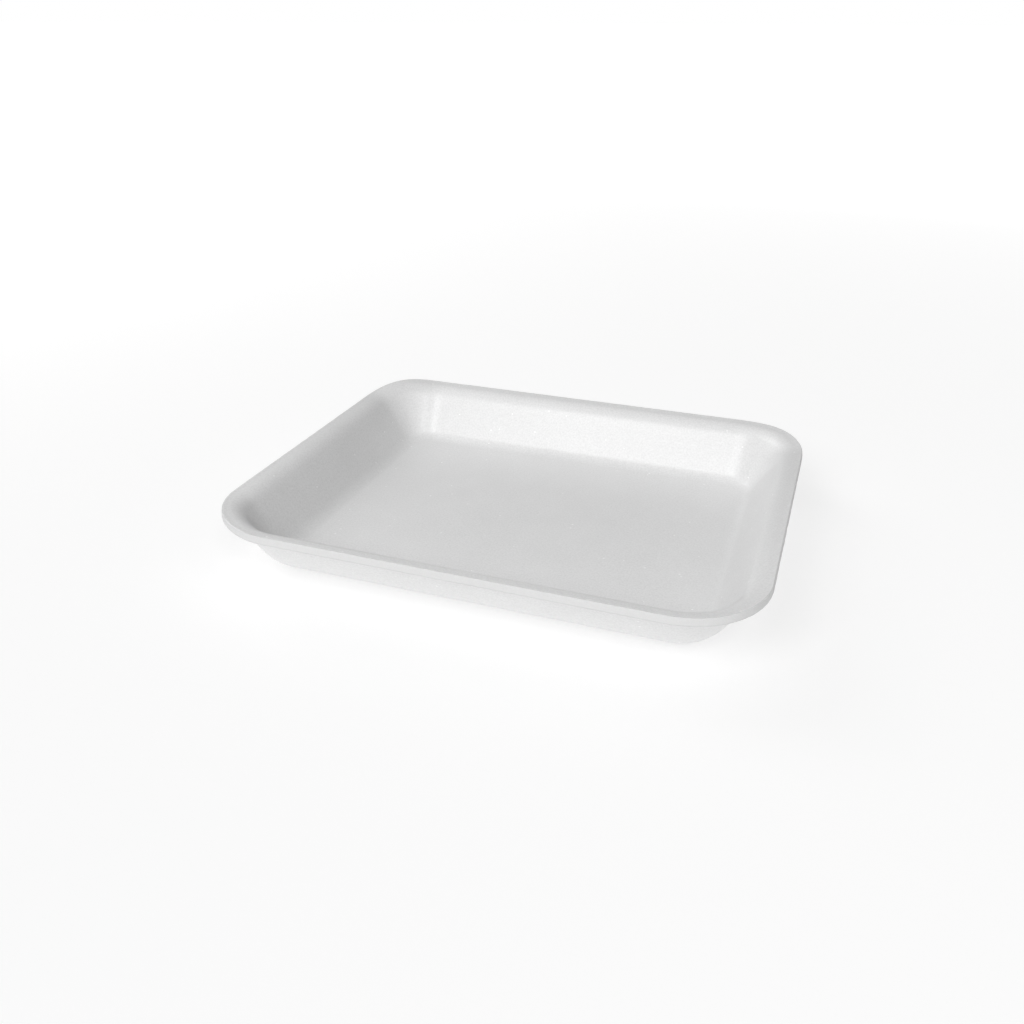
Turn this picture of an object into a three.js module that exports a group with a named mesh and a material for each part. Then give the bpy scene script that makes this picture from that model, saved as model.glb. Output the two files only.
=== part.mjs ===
// A shallow foam food tray: one sheet of white polystyrene foam, pressed into a flat floor, four sloping walls
// with round corners, and a lip that flares out to a cut edge. Millimetres, +Z up, origin under the floor's centre.
import * as THREE from 'three';
import { mergeVertices } from 'three/addons/utils/BufferGeometryUtils.js';

// The outline of the lip's upper edge, seen from above.
const LENGTH = 230;
const WIDTH = 192.2;
const CORNER_RADIUS = 34.6;

// The section through a wall, the same all the way round. The rim bend's and floor bend's radii are those of the
// inner surface, and the base bend is the outer surface's own.
const RIM_HEIGHT = 29.5;
const SHEET = 3.9;
const LIP_WIDTH = 3.5;
const LIP_SLOPE = THREE.MathUtils.degToRad(11.3);
const RIM_BEND_RADIUS = 10.1;
const WALL_SLOPE = THREE.MathUtils.degToRad(57.9);
const FLOOR_BEND_RADIUS = 8;
const BASE_BEND_RADIUS = 24.4;

// The lip is pinched thinner where it was cut, and the cut face leans out a little towards its foot.
const CUT_DEPTH = 3.4;
const CUT_LEAN = 0.35;
const CUT_SOFTENING = 0.45;

// The four corners: which way each lies from the centre, and how far the rim stands proud there or droops.
const CORNERS = [
  { x: 1, y: 1, lift: 1 },
  { x: -1, y: 1, lift: 2 },
  { x: -1, y: -1, lift: 0.8 },
  { x: 1, y: -1, lift: -0.3 },
];
const LIFT_STARTS = 0.35 * RIM_HEIGHT;
const LIFT_IS_FULL = 0.85 * RIM_HEIGHT;

// Facets of a corner's quarter turn and of a bend in the section.
const CORNER_STEPS = 14;
const BEND_STEPS = 9;

const QUARTER_TURN = Math.PI / 2;

// The point of the section at this distance and angle from another one.
function along(start, angle, distance) {
  return new THREE.Vector2(
    start.x + distance * Math.cos(angle),
    start.y + distance * Math.sin(angle),
  );
}

// The points of an arc in the section, from one angle to the other, both included.
function arc(centre, radius, from, to) {
  return new THREE.EllipseCurve(centre.x, centre.y, radius, radius, from, to, from > to).getPoints(BEND_STEPS);
}

// The middle of the bend that leads down from a wall, given by a point on its line, into a floor.
function bendMiddle(onWall, floorHeight, radius) {
  const meet = onWall.x - (onWall.y - floorHeight) / Math.tan(WALL_SLOPE);
  return new THREE.Vector2(meet - radius * Math.tan(WALL_SLOPE / 2), floorHeight + radius);
}

// The closed section of the sheet at a corner, x out from the corner's upright axis and y up. It runs from the
// axis out under the floor, up the outside, round the cut face and down the inside, back to the axis.
function traySection() {
  const inward = Math.PI + LIP_SLOPE;
  const cutTop = new THREE.Vector2(CORNER_RADIUS, RIM_HEIGHT);
  const cutFoot = new THREE.Vector2(CORNER_RADIUS + CUT_LEAN, RIM_HEIGHT - CUT_DEPTH);
  const lipEnd = along(cutTop, inward, LIP_WIDTH);
  const rimBend = along(lipEnd, inward + QUARTER_TURN, RIM_BEND_RADIUS);
  const wallTop = along(rimBend, QUARTER_TURN + WALL_SLOPE, RIM_BEND_RADIUS);
  const outerWallTop = along(rimBend, QUARTER_TURN + WALL_SLOPE, RIM_BEND_RADIUS - SHEET);
  const floorBend = bendMiddle(wallTop, SHEET, FLOOR_BEND_RADIUS);
  const baseBend = bendMiddle(outerWallTop, 0, BASE_BEND_RADIUS);

  const rimFrom = QUARTER_TURN + WALL_SLOPE;
  const rimTo = QUARTER_TURN + LIP_SLOPE;
  const floorFrom = -QUARTER_TURN;
  const floorTo = WALL_SLOPE - QUARTER_TURN;
  return [
    new THREE.Vector2(0, 0),
    ...arc(baseBend, BASE_BEND_RADIUS, floorFrom, floorTo),
    ...arc(rimBend, RIM_BEND_RADIUS - SHEET, rimFrom, rimTo),
    along(cutFoot, inward, CUT_SOFTENING),
    along(cutFoot, QUARTER_TURN, CUT_SOFTENING),
    along(cutTop, -QUARTER_TURN, CUT_SOFTENING),
    along(cutTop, inward, CUT_SOFTENING),
    ...arc(rimBend, RIM_BEND_RADIUS, rimTo, rimFrom),
    ...arc(floorBend, FLOOR_BEND_RADIUS, floorTo, floorFrom),
    new THREE.Vector2(0, SHEET),
  ];
}

// Where a point of the round dish goes in the tray. Each quarter of the dish moves out to its corner, so that
// straight walls open between the quarters, and the two points on the dish's axis stay at the tray's centre.
function placeOnOutline(reach, height, column) {
  const corner = Math.floor(column / (CORNER_STEPS + 1));
  const turn = (QUARTER_TURN * (column % (CORNER_STEPS + 1))) / CORNER_STEPS;
  if (reach === 0) {
    return [0, 0, height];
  }
  const { x, y, lift } = CORNERS[corner];
  const heading = corner * QUARTER_TURN + turn;
  const share = THREE.MathUtils.smoothstep(height, LIFT_STARTS, LIFT_IS_FULL) * Math.sin(2 * turn) ** 2;
  return [
    x * (LENGTH / 2 - CORNER_RADIUS) + reach * Math.cos(heading),
    y * (WIDTH / 2 - CORNER_RADIUS) + reach * Math.sin(heading),
    height + lift * share,
  ];
}

function trayGeometry() {
  const section = traySection();
  const columns = CORNERS.length * (CORNER_STEPS + 1);
  const dish = new THREE.LatheGeometry(section, columns);
  const position = dish.getAttribute('position');
  for (let i = 0; i < position.count; i += 1) {
    const point = section[i % section.length];
    const column = Math.floor(i / section.length) % columns;
    position.setXYZ(i, ...placeOnOutline(point.x, point.y, column));
  }
  dish.deleteAttribute('normal');
  dish.deleteAttribute('uv');
  const closed = mergeVertices(dish, 1e-3);
  closed.computeVertexNormals();
  return closed;
}

const foam = new THREE.MeshStandardMaterial({ color: 0xe4e4e4, roughness: 0.55, metalness: 0 });
const tray = new THREE.Mesh(trayGeometry(), foam);
tray.name = 'tray';

const part = new THREE.Group();
part.add(tray);

export default part;
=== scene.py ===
"""A white foam food tray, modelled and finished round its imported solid, in a pale studio cove.

The tray is one pressed sheet of polystyrene foam. Its section is drawn once and swept round the outline,
the two flat middles are filled in, and the rim's corners are then lifted as the photograph shows them.
Everything is in metres.
"""
from __future__ import annotations

import logging
import math
from dataclasses import dataclass, field
from enum import Enum

import bmesh
import bpy
from mathutils import Matrix, Vector, noise


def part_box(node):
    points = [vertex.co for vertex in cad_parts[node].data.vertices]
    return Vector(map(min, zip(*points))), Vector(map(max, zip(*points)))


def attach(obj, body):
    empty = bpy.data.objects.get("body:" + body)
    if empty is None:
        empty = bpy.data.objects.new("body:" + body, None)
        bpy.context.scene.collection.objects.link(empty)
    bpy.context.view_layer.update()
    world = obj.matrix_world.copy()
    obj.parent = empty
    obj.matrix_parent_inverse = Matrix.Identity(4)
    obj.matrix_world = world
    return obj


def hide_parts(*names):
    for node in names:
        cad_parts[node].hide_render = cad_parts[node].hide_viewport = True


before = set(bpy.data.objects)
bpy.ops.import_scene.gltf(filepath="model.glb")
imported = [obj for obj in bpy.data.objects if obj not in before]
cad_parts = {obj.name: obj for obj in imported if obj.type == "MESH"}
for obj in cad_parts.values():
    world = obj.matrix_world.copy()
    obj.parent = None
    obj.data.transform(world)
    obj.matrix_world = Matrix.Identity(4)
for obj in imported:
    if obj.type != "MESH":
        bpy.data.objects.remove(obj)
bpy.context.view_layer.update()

MM = 0.001
QUARTER_TURN = math.pi / 2
FULL_TURN = 2 * math.pi
UP = Vector((0.0, 0.0, 1.0))

# The level that Blender's noise textures lie about.
NOISE_MIDDLE = 0.5

# The colour sockets of a Mix node, by place, because its kinds share their names.
MIX_FIRST = 6
MIX_SECOND = 7
MIX_RESULT = 2

# Tells a bevel to take each new face's material from its neighbours.
NEIGHBOURS_MATERIAL = -1

log = logging.getLogger("foam_tray")


# --------------------------------------------------------------------------------------------------
# Materials: sums on sockets, and one way to add a node
# --------------------------------------------------------------------------------------------------


class Amount:
    """A number that varies over a surface, with Python's own operators adding its Math nodes."""

    def __init__(self, recipe: Recipe, socket: bpy.types.NodeSocket) -> None:
        """Wraps a socket.

        Args:
            recipe: The material recipe that the socket's node belongs to.
            socket: The output socket that carries the number.
        """
        self.recipe = recipe
        self.socket = socket

    def _math(self, operation: str, first: Amount | float, second: Amount | float) -> Amount:
        """Adds a Math node and returns its result."""
        return self.recipe.amount("ShaderNodeMath", {"operation": operation}, {0: first, 1: second})

    def __add__(self, other: Amount | float) -> Amount:
        """The sum."""
        return self._math("ADD", self, other)

    __radd__ = __add__

    def __sub__(self, other: Amount | float) -> Amount:
        """The difference."""
        return self._math("SUBTRACT", self, other)

    def __rsub__(self, other: float) -> Amount:
        """The difference, from a plain number."""
        return self._math("SUBTRACT", other, self)

    def __mul__(self, other: Amount | float) -> Amount:
        """The product."""
        return self._math("MULTIPLY", self, other)

    __rmul__ = __mul__

    def __lt__(self, other: Amount | float) -> Amount:
        """One where this is less, otherwise zero."""
        return self._math("LESS_THAN", self, other)


class Recipe:
    """One material's node tree, to which nodes are added one at a time."""

    def __init__(self, name: str) -> None:
        """Starts an empty material.

        Args:
            name: The material's name.
        """
        self.material = bpy.data.materials.new(name)
        self.material.use_nodes = True
        self.tree = self.material.node_tree
        self.tree.nodes.clear()

    def node(self, kind: str, settings: dict | None = None, sockets: dict | None = None) -> bpy.types.Node:
        """Adds a node, sets it and fills its sockets.

        Args:
            kind: The node's type, such as ShaderNodeMath.
            settings: The node's own properties, set first.
            sockets: What goes into each input, by name or place: a value, an Amount or a node's output.

        Returns:
            The new node.
        """
        made = self.tree.nodes.new(kind)
        for name, value in (settings or {}).items():
            setattr(made, name, value)
        for key, value in (sockets or {}).items():
            source = value.socket if isinstance(value, Amount) else value
            if isinstance(source, bpy.types.NodeSocket):
                self.tree.links.new(source, made.inputs[key])
            else:
                made.inputs[key].default_value = source
        return made

    def amount(self, kind: str, settings: dict | None = None, sockets: dict | None = None,
               output: str | int = 0) -> Amount:
        """Adds a node and returns one of its outputs as a number to reckon with.

        Args:
            kind: The node's type.
            settings: The node's own properties.
            sockets: What goes into each input.
            output: The output's name or place.

        Returns:
            The output, wrapped.
        """
        return Amount(self, self.node(kind, settings, sockets).outputs[output])

    def place(self) -> bpy.types.NodeSocket:
        """The point's place on the object, in metres."""
        coordinates = self.node("ShaderNodeTexCoord").outputs["Object"]
        return self.node("ShaderNodeMapping", None, {"Vector": coordinates}).outputs["Vector"]

    def cloudy(self, place: bpy.types.NodeSocket, size: float, detail: float = 2.0) -> Amount:
        """Soft noise about a half.

        Args:
            place: Where the noise is read.
            size: How large its blotches are, in metres.
            detail: How many finer layers it has.

        Returns:
            A number from about 0.2 to 0.8.
        """
        return self.amount("ShaderNodeTexNoise", None, {"Vector": place, "Scale": 1 / size, "Detail": detail})

    def cells(self, place: bpy.types.NodeSocket, size: float) -> bpy.types.Node:
        """Foam cells: the distance from each cell's middle, and a random colour for each cell.

        Args:
            place: Where the cells are read.
            size: How far apart their middles are, in metres.

        Returns:
            The node, with outputs Distance and Color.
        """
        return self.node("ShaderNodeTexVoronoi", {"feature": "F1"}, {"Vector": place, "Scale": 1 / size})

    def grey(self, level: Amount) -> bpy.types.NodeSocket:
        """A neutral colour of this level."""
        mixed = self.node("ShaderNodeMix", {"data_type": "RGBA"}, {
            "Factor": level,
            MIX_FIRST: (0.0, 0.0, 0.0, 1.0),
            MIX_SECOND: (1.0, 1.0, 1.0, 1.0),
        })
        return mixed.outputs[MIX_RESULT]

    def bumped(self, height: Amount, depth: float) -> bpy.types.NodeSocket:
        """A surface normal with this relief.

        Args:
            height: The relief, from 0 to about 1.
            depth: How deep a height of 1 is, in metres.

        Returns:
            The bumped normal.
        """
        return self.node("ShaderNodeBump", None, {"Height": height, "Distance": depth}).outputs["Normal"]

    def finish(self, shader: bpy.types.Node) -> bpy.types.Material:
        """Sends a shader to the surface and returns the material."""
        self.node("ShaderNodeOutputMaterial", None, {"Surface": shader.outputs[0]})
        return self.material


@dataclass(frozen=True)
class FoamSkin:
    """The pressed sheet's smooth skin: white, with a broad soft shine, fine cells and a few stray specks."""

    white: float = 0.80
    blotch_contrast: float = 0.04
    blotch_size: float = 16 * MM
    grain_contrast: float = 0.18
    grain_size: float = 0.8 * MM
    cell_size: float = 1.6 * MM
    cell_relief: float = 0.5
    grain_relief: float = 0.6
    relief_depth: float = 0.05 * MM
    speck_spacing: float = 5.0 * MM
    speck_radius: float = 0.09
    speck_share: float = 0.30
    speck_lift: float = 0.16
    roughness: float = 0.35
    roughness_spread: float = 0.06
    gloss: float = 0.6

    def material(self) -> bpy.types.Material:
        """Mixes the finish.

        Returns:
            The skin's material.
        """
        recipe = Recipe("foam_skin")
        place = recipe.place()
        blotches = recipe.cloudy(place, self.blotch_size)
        grain = recipe.cloudy(place, self.grain_size, detail=1.0)
        cells = Amount(recipe, recipe.cells(place, self.cell_size).outputs["Distance"])
        specks = recipe.cells(place, self.speck_spacing)
        chosen = recipe.amount("ShaderNodeSeparateColor", None, {"Color": specks.outputs["Color"]})
        near = Amount(recipe, specks.outputs["Distance"]) < self.speck_radius
        speck = near * (chosen < self.speck_share)
        shade = (blotches - NOISE_MIDDLE) * self.blotch_contrast
        level = self.white + shade + (grain - NOISE_MIDDLE) * self.grain_contrast
        rough = self.roughness + (blotches - NOISE_MIDDLE) * self.roughness_spread
        relief = cells * self.cell_relief + grain * self.grain_relief
        shader = recipe.node("ShaderNodeBsdfPrincipled", None, {
            "Base Color": recipe.grey(level + speck * self.speck_lift),
            "Roughness": rough,
            "Specular IOR Level": self.gloss,
            "Normal": recipe.bumped(relief, self.relief_depth),
        })
        return recipe.finish(shader)


@dataclass(frozen=True)
class CutFoam:
    """The foam where the lip was cut: dull, with its open cells showing."""

    white: float = 0.66
    mottle: float = 0.08
    cell_size: float = 0.8 * MM
    grain_size: float = 0.4 * MM
    cell_relief: float = 0.7
    grain_relief: float = 0.5
    relief_depth: float = 0.12 * MM
    roughness: float = 0.85
    gloss: float = 0.25

    def material(self) -> bpy.types.Material:
        """Mixes the finish.

        Returns:
            The cut face's material.
        """
        recipe = Recipe("cut_foam")
        place = recipe.place()
        cells = Amount(recipe, recipe.cells(place, self.cell_size).outputs["Distance"])
        grain = recipe.cloudy(place, self.grain_size)
        relief = cells * self.cell_relief + grain * self.grain_relief
        shader = recipe.node("ShaderNodeBsdfPrincipled", None, {
            "Base Color": recipe.grey(self.white + (grain - NOISE_MIDDLE) * self.mottle),
            "Roughness": self.roughness,
            "Specular IOR Level": self.gloss,
            "Normal": recipe.bumped(relief, self.relief_depth),
        })
        return recipe.finish(shader)


@dataclass(frozen=True)
class PaleCove:
    """The studio's floor: pale, with a glow that grows away from the lamps and towards its rim."""

    white: float = 0.4
    roughness: float = 0.9
    lamps_x: float = -0.15
    lamps_y: float = -0.6
    glow: float = 0.45
    glow_rise: float = 0.48
    rise_end: float = 1.8
    rim_glow: float = 0.15
    rim_start: float = 0.9
    rim_end: float = 1.7

    @staticmethod
    def _rise(recipe: Recipe, centre: tuple[float, float, float], start: float, end: float) -> Amount:
        """How far out a point of the floor lies.

        Args:
            recipe: The material recipe.
            centre: The place that is measured from.
            start: The distance, in metres, up to which it is 0.
            end: The distance from which it is 1.

        Returns:
            A number from 0 to 1.
        """
        ends = {0: recipe.place(), 1: centre}
        away = recipe.amount("ShaderNodeVectorMath", {"operation": "DISTANCE"}, ends, "Value")
        span = {"Value": away, "From Min": start, "From Max": end}
        return recipe.amount("ShaderNodeMapRange", None, span)

    def material(self) -> bpy.types.Material:
        """Mixes the finish.

        Returns:
            The cove's material.
        """
        recipe = Recipe("pale_cove")
        from_lamps = self._rise(recipe, (self.lamps_x, self.lamps_y, 0.0), 0.0, self.rise_end)
        to_rim = self._rise(recipe, (0.0, 0.0, 0.0), self.rim_start, self.rim_end)
        glow = from_lamps * self.glow_rise + to_rim * self.rim_glow + self.glow
        shader = recipe.node("ShaderNodeBsdfPrincipled", None, {
            "Base Color": (self.white, self.white, self.white, 1.0),
            "Roughness": self.roughness,
            "Specular IOR Level": 0.0,
            "Emission Color": recipe.grey(glow),
            "Emission Strength": 1.0,
        })
        return recipe.finish(shader)


# --------------------------------------------------------------------------------------------------
# The tray
# --------------------------------------------------------------------------------------------------


class Face(Enum):
    """The two kinds of surface on the tray, numbered as its material slots are."""

    SKIN = 0
    CUT = 1


class Corner(Enum):
    """The tray's corners in turn: which way each lies from the centre, and how far its rim stands proud."""

    RIGHT_BACK = (1, 1, 1.0 * MM)
    LEFT_BACK = (-1, 1, 2.0 * MM)
    LEFT_FRONT = (-1, -1, 0.8 * MM)
    RIGHT_FRONT = (1, -1, -0.3 * MM)

    @property
    def way(self) -> Vector:
        """Which way the corner lies from the centre, as signs along x and y."""
        return Vector((self.value[0], self.value[1], 0.0))

    @property
    def lift(self) -> float:
        """How far the rim stands proud at the corner, or droops."""
        return self.value[2]

    @classmethod
    def nearest(cls, point: Vector) -> Corner:
        """The corner in whose quarter of the tray a point lies."""
        return next(c for c in cls if point.x * c.way.x >= 0 and point.y * c.way.y >= 0)


def smoothstep(value: float, low: float, high: float) -> float:
    """How far a value has come from low to high, from 0 to 1, eased at both ends."""
    share = min(max((value - low) / (high - low), 0.0), 1.0)
    return share * share * (3 - 2 * share)


class Pen:
    """Draws a line of vertices and edges in the plane of x and z, one straight or bend after another."""

    def __init__(self, bm: bmesh.types.BMesh, x: float, z: float) -> None:
        """Puts the pen down.

        Args:
            bm: The mesh that is drawn in.
            x: Where the line starts, out from the upright axis.
            z: Where the line starts, above the ground.
        """
        self.bm = bm
        self.tip = bmesh.ops.create_vert(bm, co=(x, 0.0, z))["vert"][0]

    def _spin(self, centre: Vector, angle: float, step: Vector, steps: int) -> None:
        """Moves the tip by repeated turns and steps, leaving a line behind it."""
        last = bmesh.ops.spin(self.bm, geom=[self.tip], cent=centre, axis=(0.0, 1.0, 0.0), dvec=step,
                              angle=angle, steps=steps)["geom_last"]
        self.tip = next(item for item in last if isinstance(item, bmesh.types.BMVert))

    def straight(self, to: Vector, steps: int) -> None:
        """Draws a straight stretch.

        Args:
            to: Where it ends, as x and z.
            steps: How many edges it has.
        """
        end = Vector((to.x, 0.0, to.y))
        self._spin(self.tip.co.copy(), 0.0, (end - self.tip.co) / steps, steps)

    def bend(self, centre: Vector, angle: float, steps: int) -> None:
        """Draws an arc.

        Args:
            centre: The middle of the bend, as x and z.
            angle: How far it turns, anticlockwise seen with x to the right and z up.
            steps: How many edges it has.
        """
        self._spin(Vector((centre.x, 0.0, centre.y)), -angle, Vector(), steps)


def towards(start: Vector, angle: float, distance: float) -> Vector:
    """The point in the section's plane at this angle and distance from another one."""
    return start + Vector((math.cos(angle), math.sin(angle))) * distance


def added(name: str, data: bpy.types.ID) -> bpy.types.Object:
    """A new object in the scene, at the origin, that holds this data."""
    made = bpy.data.objects.new(name, data)
    bpy.context.scene.collection.objects.link(made)
    return made


def shaped(name: str, bm: bmesh.types.BMesh) -> bpy.types.Object:
    """Makes a smooth-shaded object of a finished mesh.

    Args:
        name: The object's name, and its mesh's.
        bm: The mesh, which is used up.

    Returns:
        The new object, at the origin.
    """
    for face in bm.faces:
        face.smooth = True
    mesh = bpy.data.meshes.new(name)
    bm.to_mesh(mesh)
    bm.free()
    return added(name, mesh)


@dataclass(frozen=True)
class SheetSection:
    """The section through the pressed sheet at a corner, x out from the corner's upright axis and z up.

    The rim bend's and floor bend's radii are those of the inner surface, and the base bend's is the outer
    surface's own. The lip curls up a little towards its cut.
    """

    corner_radius: float = 34.6 * MM
    rim_height: float = 29.5 * MM
    thickness: float = 3.9 * MM
    lip_width: float = 3.5 * MM
    lip_slope: float = math.radians(11.3)
    lip_curl: float = math.radians(13.0)
    rim_bend: float = 10.1 * MM
    wall_slope: float = math.radians(57.9)
    floor_bend: float = 8.0 * MM
    base_bend: float = 24.4 * MM
    cut_depth: float = 3.4 * MM
    cut_lean: float = 0.35 * MM

    # How many edges each stretch of the section has, in the order in which they are drawn.
    floor_bend_steps: int = 14
    wall_steps: int = 14
    rim_bend_steps: int = 9
    lip_steps: int = 4
    cut_steps: int = 6
    under_lip_steps: int = 3
    under_bend_steps: int = 6
    outer_wall_steps: int = 8
    base_bend_steps: int = 13

    def _bend_middle(self, wall_top: Vector, floor_height: float, radius: float) -> Vector:
        """The middle of the bend that leads from a wall down into a floor.

        Args:
            wall_top: A point on the wall's line.
            floor_height: The floor's height.
            radius: The bend's radius.

        Returns:
            The middle, as x and z.
        """
        meet = wall_top.x - (wall_top.y - floor_height) / math.tan(self.wall_slope)
        return Vector((meet - radius * math.tan(self.wall_slope / 2), floor_height + radius))

    def draw(self, bm: bmesh.types.BMesh) -> list:
        """Draws the section from the axis out along the floor, over the rim and back under to the axis.

        Args:
            bm: The mesh that is drawn in, empty so far.

        Returns:
            The section's vertices and edges.
        """
        lip_angle = math.pi + self.lip_slope
        cut_top = Vector((self.corner_radius, self.rim_height))
        cut_foot = cut_top + Vector((self.cut_lean, -self.cut_depth))
        lip_end = towards(cut_top, lip_angle, self.lip_width)
        rim_middle = towards(lip_end, lip_angle + QUARTER_TURN, self.rim_bend)
        wall_top = towards(rim_middle, QUARTER_TURN + self.wall_slope, self.rim_bend)
        floor_middle = self._bend_middle(wall_top, self.thickness, self.floor_bend)
        outer_wall_top = towards(wall_top, self.wall_slope - QUARTER_TURN, self.thickness)
        base_middle = self._bend_middle(outer_wall_top, 0.0, self.base_bend)
        curl_radius = self.lip_width / (2 * math.sin(self.lip_curl / 2))
        curl_middle = towards(lip_end, self.lip_slope - self.lip_curl / 2 + QUARTER_TURN, curl_radius)
        under_bend = self.rim_bend - self.thickness
        rim_turn = self.wall_slope - self.lip_slope

        pen = Pen(bm, 0.0, self.thickness)
        pen.straight(towards(floor_middle, -QUARTER_TURN, self.floor_bend), 1)
        pen.bend(floor_middle, self.wall_slope, self.floor_bend_steps)
        pen.straight(wall_top, self.wall_steps)
        pen.bend(rim_middle, -rim_turn, self.rim_bend_steps)
        pen.bend(curl_middle, self.lip_curl, self.lip_steps)
        pen.straight(cut_foot, self.cut_steps)
        pen.straight(towards(rim_middle, QUARTER_TURN + self.lip_slope, under_bend), self.under_lip_steps)
        pen.bend(rim_middle, rim_turn, self.under_bend_steps)
        base_bend_top = towards(base_middle, self.wall_slope - QUARTER_TURN, self.base_bend)
        pen.straight(base_bend_top, self.outer_wall_steps)
        pen.bend(base_middle, -self.wall_slope, self.base_bend_steps)
        pen.straight(Vector((0.0, 0.0)), 1)
        return bm.verts[:] + bm.edges[:]


@dataclass(frozen=True)
class Unevenness:
    """How far the sheet strays from its nominal shape, by noise of a few sizes."""

    wave_size: float = 42 * MM
    wave_depth: float = 0.10 * MM
    ripple_size: float = 13 * MM
    ripple_depth: float = 0.025 * MM
    tear_size: float = 1.6 * MM
    tear_depth: float = 0.10 * MM

    def skin(self, point: Vector) -> float:
        """How far the inner skin swells at a point."""
        wave = noise.noise(point / self.wave_size) * self.wave_depth
        return wave + noise.noise(point / self.ripple_size) * self.ripple_depth

    def cut(self, point: Vector) -> float:
        """How far the torn cells of the cut face stand out at a point."""
        return noise.noise(point / self.tear_size) * self.tear_depth


@dataclass
class FoamTray:
    """The tray: one sheet of foam, swept round its outline and filled across its floor."""

    section: SheetSection = field(default_factory=SheetSection)
    unevenness: Unevenness = field(default_factory=Unevenness)
    corner_steps: int = 44
    step_length: float = 1.06 * MM
    edge_rounding: float = 0.35 * MM
    edge_segments: int = 2
    edge_profile: float = 0.5
    weld: float = 0.01 * MM

    # The shares of the rim's height at which the corners' lift starts and is full.
    lift_starts: float = 0.35
    lift_is_full: float = 0.85

    def __post_init__(self) -> None:
        """Takes the outline's half sizes, from the middle to the corners' axes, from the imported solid."""
        low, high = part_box("tray")
        reach = self.section.corner_radius + self.section.cut_lean
        self.half_x = (high.x - low.x) / 2 - reach
        self.half_y = (high.y - low.y) / 2 - reach

    def reach(self, point: Vector) -> Vector:
        """How far a point lies outside the rectangle of the corners' axes, along x and along y."""
        return Vector((max(abs(point.x) - self.half_x, 0.0), max(abs(point.y) - self.half_y, 0.0)))

    def _steps(self, length: float) -> int:
        """How many steps a straight stretch takes."""
        return round(length / self.step_length)

    def _sweep(self, bm: bmesh.types.BMesh) -> None:
        """Carries the section half way along one straight, round one corner, and half way along the next."""
        line = self.section.draw(bm)
        bmesh.ops.translate(bm, verts=bm.verts, vec=(self.half_x, 0.0, 0.0))
        corner = Vector((self.half_x, self.half_y, 0.0))
        for run, turn, steps in (
            (Vector((0.0, self.half_y, 0.0)), 0.0, 1),
            (Vector(), QUARTER_TURN, self.corner_steps),
            (Vector((-self.half_x, 0.0, 0.0)), 0.0, 1),
        ):
            swept = bmesh.ops.spin(bm, geom=line, cent=corner, axis=UP, dvec=run, angle=turn, steps=steps)
            line = swept["geom_last"]
        for run in (self.half_x, self.half_y):
            whole = [e for e in bm.edges if e.calc_length() > run - self.weld]
            bmesh.ops.subdivide_edges(bm, edges=whole, cuts=self._steps(run) - 1, use_grid_fill=True)

    def _fill_middles(self, bm: bmesh.types.BMesh) -> None:
        """Lays the flat rectangles inside the corner's axis, of the floor and of the underside."""
        for height in (self.section.thickness, 0.0):
            middle = Matrix.Translation((self.half_x / 2, self.half_y / 2, height))
            spread = Matrix.Diagonal((self.half_x / 2, self.half_y / 2, 1.0, 1.0))
            bmesh.ops.create_grid(
                bm,
                x_segments=self._steps(self.half_x),
                y_segments=self._steps(self.half_y),
                size=1.0,
                matrix=middle @ spread,
            )
        bmesh.ops.remove_doubles(bm, verts=bm.verts, dist=self.weld)

    def _mirror(self, bm: bmesh.types.BMesh) -> None:
        """Mirrors the finished quarter into the whole tray."""
        for axis in ("X", "Y"):
            whole = bm.verts[:] + bm.edges[:] + bm.faces[:]
            bmesh.ops.mirror(bm, geom=whole, axis=axis, merge_dist=self.weld)
        bmesh.ops.recalc_face_normals(bm, faces=bm.faces)

    def _mark_cut(self, bm: bmesh.types.BMesh, reach: float) -> None:
        """Gives the faces that lie further out than this the cut foam's material slot."""
        for face in bm.faces:
            if self.reach(face.calc_center_median()).length > reach:
                face.material_index = Face.CUT.value

    def _finish_cut(self, bm: bmesh.types.BMesh) -> None:
        """Tells the cut face from the skin, and softens its two edges, which are bare foam too."""
        self._mark_cut(bm, self.section.corner_radius)
        borders = [e for e in bm.edges if len({f.material_index for f in e.link_faces}) == len(Face)]
        bmesh.ops.bevel(
            bm,
            geom=borders,
            affect="EDGES",
            offset=self.edge_rounding,
            segments=self.edge_segments,
            profile=self.edge_profile,
            material=NEIGHBOURS_MATERIAL,
        )
        self._mark_cut(bm, self.section.corner_radius - self.edge_rounding)

    def _lift_corners(self, bm: bmesh.types.BMesh) -> None:
        """Raises or lowers the rim at each corner, most at the middle of the corner's turn."""
        starts = self.lift_starts * self.section.rim_height
        full = self.lift_is_full * self.section.rim_height
        for vert in bm.verts:
            reach = self.reach(vert.co)
            turn = math.atan2(reach.y, reach.x)
            share = math.sin(2 * turn) ** 2 * smoothstep(vert.co.z, starts, full)
            vert.co.z += Corner.nearest(vert.co).lift * share

    def _roughen(self, bm: bmesh.types.BMesh) -> None:
        """Moves the inner skin and the cut face in and out a little, as the real foam is uneven."""
        bm.normal_update()
        cut = {v for f in bm.faces if f.material_index == Face.CUT.value for v in f.verts}
        for vert in bm.verts:
            if vert in cut:
                vert.co += vert.normal * self.unevenness.cut(vert.co)
            else:
                vert.co += vert.normal * max(vert.normal.z, 0.0) * self.unevenness.skin(vert.co)

    def build(self) -> bpy.types.Object:
        """Builds the tray's mesh.

        Returns:
            The tray's object, undressed.
        """
        bm = bmesh.new()
        self._sweep(bm)
        self._fill_middles(bm)
        self._mirror(bm)
        self._finish_cut(bm)
        self._lift_corners(bm)
        self._roughen(bm)
        return shaped("foam_tray", bm)

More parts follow.
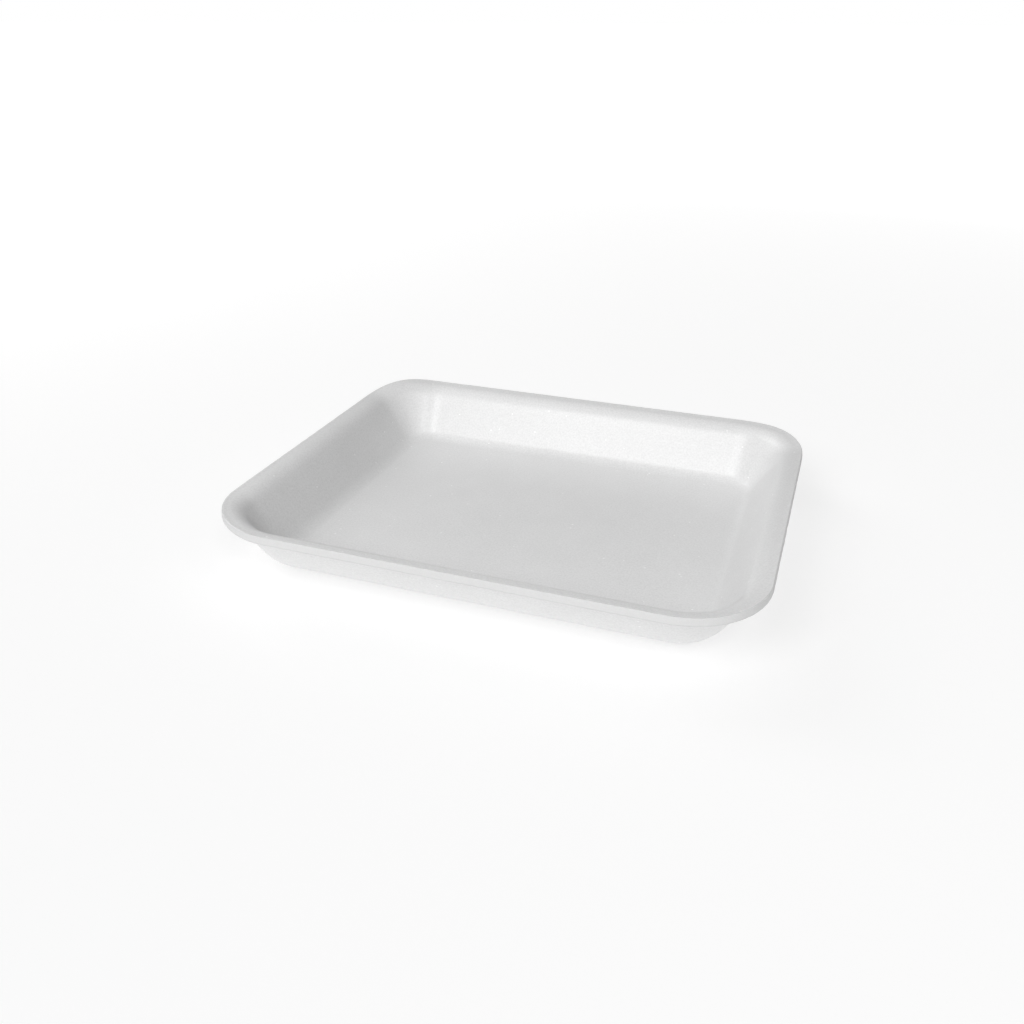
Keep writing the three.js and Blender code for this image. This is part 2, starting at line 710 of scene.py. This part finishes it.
    def dress(self, tray: bpy.types.Object) -> None:
        """Gives the tray its finishes and its place in the frame.

        Args:
            tray: The tray's object.
        """
        tray.data.materials.append(FoamSkin().material())
        tray.data.materials.append(CutFoam().material())
        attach(tray, "root")
        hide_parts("tray")


# --------------------------------------------------------------------------------------------------
# The studio
# --------------------------------------------------------------------------------------------------


@dataclass(frozen=True)
class Cove:
    """The studio's round white floor, just under the tray's base, which curls up into a low curb."""

    floor_height: float = -0.05 * MM
    floor_radius: float = 2.0
    curb_radius: float = 0.2
    floor_steps: int = 2
    curb_steps: int = 12
    round_steps: int = 96
    weld: float = 0.1 * MM

    def build(self) -> bpy.types.Object:
        """Builds the cove.

        Returns:
            The cove's object.
        """
        bm = bmesh.new()
        pen = Pen(bm, 0.0, self.floor_height)
        pen.straight(Vector((self.floor_radius, self.floor_height)), self.floor_steps)
        curb_middle = Vector((self.floor_radius, self.floor_height + self.curb_radius))
        pen.bend(curb_middle, QUARTER_TURN, self.curb_steps)
        bmesh.ops.spin(
            bm,
            geom=bm.verts[:] + bm.edges[:],
            cent=(0.0, 0.0, 0.0),
            axis=UP,
            dvec=(0.0, 0.0, 0.0),
            angle=FULL_TURN,
            steps=self.round_steps,
            use_merge=True,
        )
        bmesh.ops.remove_doubles(bm, verts=bm.verts, dist=self.weld)
        bmesh.ops.recalc_face_normals(bm, faces=bm.faces)
        cove = shaped("cove", bm)
        cove.data.materials.append(PaleCove().material())
        return cove


@dataclass(frozen=True)
class Softbox:
    """A square soft light that faces the tray, with its angles in degrees and its power in watts."""

    name: str
    azimuth: float
    elevation: float
    power: float
    distance: float = 1.2
    side: float = 0.6

    def build(self) -> bpy.types.Object:
        """Hangs the light.

        Returns:
            The light's object.
        """
        lamp = bpy.data.lights.new(self.name, "AREA")
        lamp.shape = "SQUARE"
        lamp.size = self.side
        lamp.energy = self.power
        back = facing(math.radians(self.azimuth), math.radians(self.elevation))
        turn = back.to_track_quat("Z", "Y").to_matrix().to_4x4()
        light = added(self.name, lamp)
        light.matrix_world = Matrix.Translation(back * self.distance) @ turn
        return light


SOFTBOXES = (
    Softbox("key", azimuth=-16.0, elevation=40.0, power=7.3),
    Softbox("left_side", azimuth=-110.0, elevation=35.0, power=3.8),
    Softbox("left_high", azimuth=-75.0, elevation=60.0, power=0.9),
    Softbox("right_side", azimuth=67.0, elevation=40.0, power=1.2, side=0.4),
    Softbox("right_high", azimuth=70.0, elevation=60.0, power=0.5),
    Softbox("right_spot", azimuth=33.0, elevation=43.0, power=3.0, side=0.3),
)


def facing(azimuth: float, elevation: float) -> Vector:
    """The direction from the tray to a viewer.

    Args:
        azimuth: How far round the viewer is, in radians, from straight in front and positive to the right.
        elevation: How far up the viewer is, in radians.

    Returns:
        The direction, one long.
    """
    return Vector((
        math.sin(azimuth) * math.cos(elevation),
        -math.cos(azimuth) * math.cos(elevation),
        math.sin(elevation),
    ))


@dataclass(frozen=True)
class Camera:
    """The photograph's viewpoint, with its angles in radians and its lens and sensor in millimetres."""

    azimuth: float = math.radians(19.61)
    elevation: float = math.radians(27.47)
    roll: float = math.radians(0.23)
    distance: float = 446.21 * MM
    aside: float = 8.35 * MM
    above: float = -7.29 * MM
    lens: float = 33.38
    sensor: float = 36.0
    clip_start: float = 10 * MM

    def build(self) -> bpy.types.Object:
        """Sets up the camera.

        Returns:
            The camera's object, made the scene's camera.
        """
        back = facing(self.azimuth, self.elevation)
        right = Vector((math.cos(self.azimuth), math.sin(self.azimuth), 0.0))
        up = back.cross(right)
        right_rolled = right * math.cos(self.roll) + up * math.sin(self.roll)
        up_rolled = up * math.cos(self.roll) - right * math.sin(self.roll)
        data = bpy.data.cameras.new("camera")
        data.lens = self.lens
        data.sensor_width = self.sensor
        data.clip_start = self.clip_start
        camera = added("camera", data)
        where = back * self.distance - right_rolled * self.aside - up_rolled * self.above
        turn = Matrix((right_rolled, up_rolled, back)).transposed().to_4x4()
        camera.matrix_world = Matrix.Translation(where) @ turn
        bpy.context.scene.camera = camera
        return camera


@dataclass(frozen=True)
class Sky:
    """The world beyond the lamps: dim as a light, and white where the camera sees it."""

    light: float = 0.10
    backdrop: float = 1.0

    def build(self) -> bpy.types.World:
        """Sets the world's light.

        Returns:
            The world.
        """
        world = bpy.data.worlds.new("sky")
        world.use_nodes = True
        tree = world.node_tree
        seen = tree.nodes.new("ShaderNodeLightPath").outputs["Is Camera Ray"]
        level = tree.nodes.new("ShaderNodeMath")
        level.operation = "MULTIPLY_ADD"
        level.inputs[1].default_value = self.backdrop - self.light
        level.inputs[2].default_value = self.light
        background = tree.nodes["Background"]
        background.inputs["Color"].default_value = (1.0, 1.0, 1.0, 1.0)
        tree.links.new(seen, level.inputs[0])
        tree.links.new(level.outputs[0], background.inputs["Strength"])
        bpy.context.scene.world = world
        return world


def main() -> None:
    """Builds the tray, the studio and the camera."""
    logging.basicConfig(level=logging.INFO, format="%(name)s: %(message)s")
    maker = FoamTray()
    tray = maker.build()
    maker.dress(tray)
    log.info("tray: %d faces", len(tray.data.polygons))
    Cove().build()
    Sky().build()
    for softbox in SOFTBOXES:
        softbox.build()
    Camera().build()
    bpy.context.scene.view_settings.view_transform = "Standard"
    log.info("sizes written")


if __name__ == "__main__":
    main()
